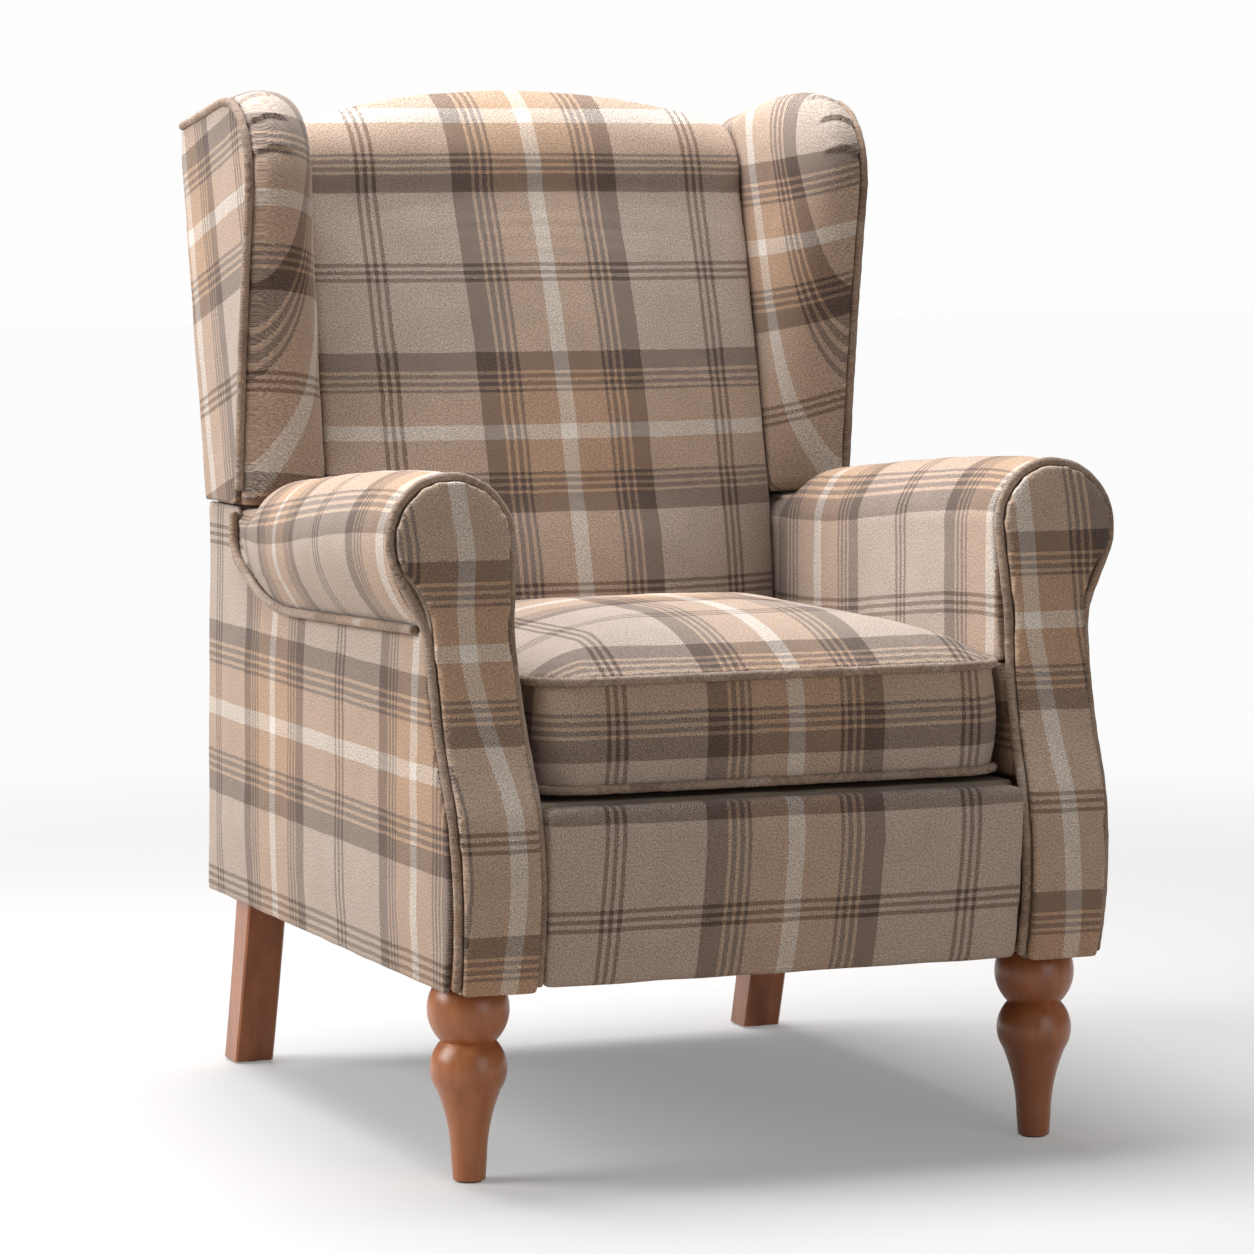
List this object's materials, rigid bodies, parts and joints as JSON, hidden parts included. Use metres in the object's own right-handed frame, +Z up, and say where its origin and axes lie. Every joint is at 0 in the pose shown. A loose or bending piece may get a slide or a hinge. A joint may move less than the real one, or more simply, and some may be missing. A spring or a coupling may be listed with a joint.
{
  "type": "fireside wing armchair",
  "caption": "Upholstered fireside chair with scroll arms, side wings, a lift-off back and a loose box cushion on turned front legs and swept rear legs.",
  "frame": {"origin": "on the floor, below the middle of the chair's bounding box", "axes": "+Z up, -Y towards the front of the chair, +X towards its left arm as seen by the sitter; X = 0 is the plane of symmetry"},
  "size_m": [0.7504, 0.8578, 1.038],
  "materials": {
    "plaid_fabric": "matte",
    "plaid_piping": "matte",
    "frame_timber": "matte",
    "frame_board": "matte",
    "leg_wood": "satin",
    "zinc_steel": "satin",
    "black_cloth": "matte",
    "lining_cloth": "matte",
    "elastic_webbing": "matte",
    "clip_nylon": "matte",
    "glide_nylon": "matte",
    "foam": "matte",
    "zip_tape": "matte",
    "zip_metal": "satin"
  },
  "bodies": {
    "base": {"front_rail": "frame_timber", "back_rail": "frame_timber", "side_rail_right": "frame_timber", "side_rail_left": "frame_timber", "arm_stumps": "frame_timber", "rear_stumps": "frame_timber", "arm_boards": "frame_timber", "corner_blocks": "frame_timber", "bracket_posts": "frame_timber", "inside_arm_panels": "frame_board", "outside_arm_panel_right": "plaid_fabric", "outside_arm_panel_left": "plaid_fabric", "facing_boards": "frame_board", "dust_cover": "black_cloth", "arm_pad_right": "plaid_fabric", "arm_pad_left": "plaid_fabric", "arm_roll_right": "plaid_fabric", "arm_roll_left": "plaid_fabric", "facing_pad_right": "plaid_fabric", "facing_pad_left": "plaid_fabric", "facing_piping_right": "plaid_piping", "facing_piping_left": "plaid_piping", "arm_piping_right": "plaid_piping", "arm_piping_left": "plaid_piping", "front_border": "plaid_fabric", "rear_cover": "plaid_fabric", "seat_deck": "lining_cloth", "seat_springs": "zinc_steel", "spring_clips": "clip_nylon", "front_leg_right": "leg_wood", "front_leg_left": "leg_wood", "rear_leg_right": "leg_wood", "rear_leg_left": "leg_wood", "leg_bolts": "zinc_steel", "tee_nuts": "zinc_steel", "glides": "glide_nylon", "bracket_receivers": "zinc_steel", "receiver_screws": "zinc_steel"},
    "back": {"back_uprights": "frame_timber", "back_top_rail": "frame_timber", "back_bottom_rail": "frame_timber", "back_webbing": "elastic_webbing", "wing_boards": "frame_board", "wing_blocks": "frame_timber", "inside_back_pad": "plaid_fabric", "wing_pad_right": "plaid_fabric", "wing_pad_left": "plaid_fabric", "wing_outer_panel_right": "plaid_fabric", "wing_outer_panel_left": "plaid_fabric", "wing_piping_right": "plaid_piping", "wing_piping_left": "plaid_piping", "outside_back": "plaid_fabric", "bracket_hooks": "zinc_steel", "hook_screws": "zinc_steel"},
    "seat_cushion": {"cushion_cover": "plaid_fabric", "cushion_foam": "foam", "cushion_piping": "plaid_piping", "cushion_zip": "zip_tape"},
    "zip_slider": {"zip_slider": "zip_metal"}
  },
  "joints": [
    {"name": "back_lift", "type": "slide", "parent": "base", "child": "back", "axis": [0, 0, 1], "range_m": [0, 0.16]},
    {"name": "cushion_lift", "type": "slide", "parent": "base", "child": "seat_cushion", "axis": [0, 0, 1], "range_m": [0, 0.15]},
    {"name": "zip_run", "type": "slide", "parent": "seat_cushion", "child": "zip_slider", "axis": [-1, 0, 0], "range_m": [0, 0.354]}
  ]
}
